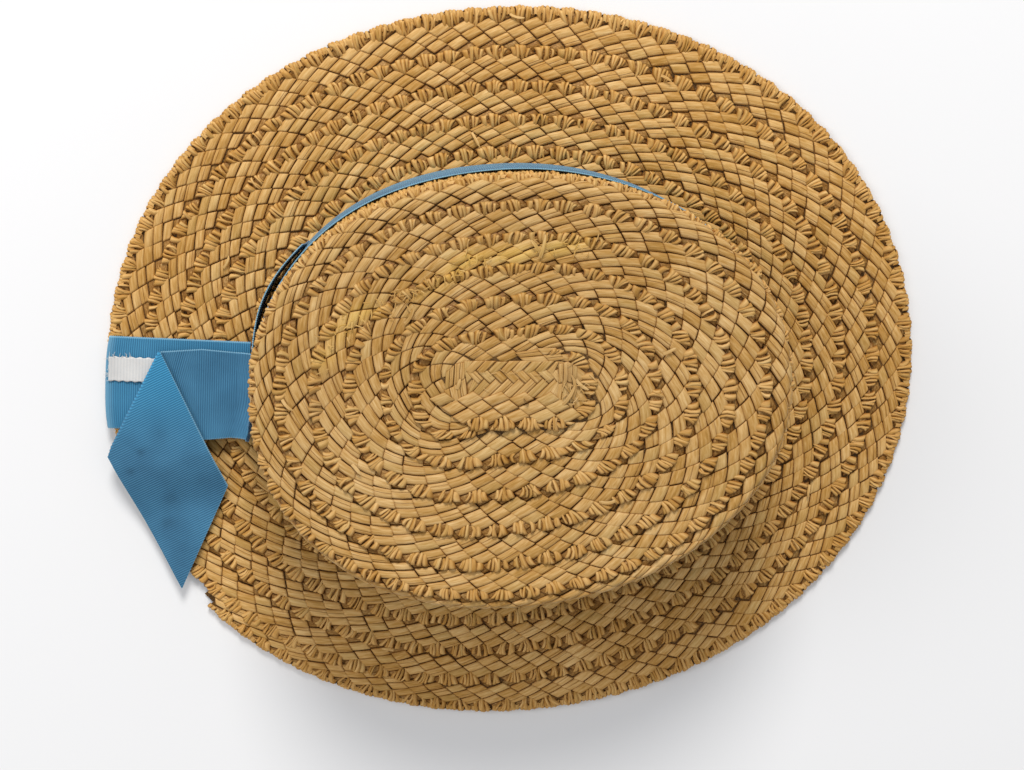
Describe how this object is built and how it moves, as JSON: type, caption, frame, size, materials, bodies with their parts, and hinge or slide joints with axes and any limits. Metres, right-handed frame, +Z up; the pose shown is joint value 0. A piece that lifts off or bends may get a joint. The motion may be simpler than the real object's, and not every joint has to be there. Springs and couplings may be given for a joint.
{
  "type": "boater hat",
  "caption": "Straw boater with a flat oval crown and flat brim of coiled plait, a ribbon band, and a flat bow with a slanted tail at the back; rests on its brim and takes a head from below.",
  "frame": {"origin": "middle of the hat's whole box, on the plane the brim rests on", "axes": "+Z up through the crown, +X to the front of the hat along its long axis with the bow at -X, +Y to the wearer's left"},
  "size_m": [0.3314, 0.289, 0.085],
  "materials": {
    "straw_plait": "golden plaited straw with a dry satin surface",
    "blue_ribbon": "matte grosgrain with fine cross ribs",
    "white_tape": "matte woven tape, left bare"
  },
  "bodies": {
    "root": {"crown": "straw_plait", "brim": "straw_plait", "hat_band": "blue_ribbon", "band_end": "blue_ribbon", "bow_loop": "blue_ribbon", "bow_tail": "blue_ribbon", "name_tape": "white_tape"}
  },
  "joints": []
}
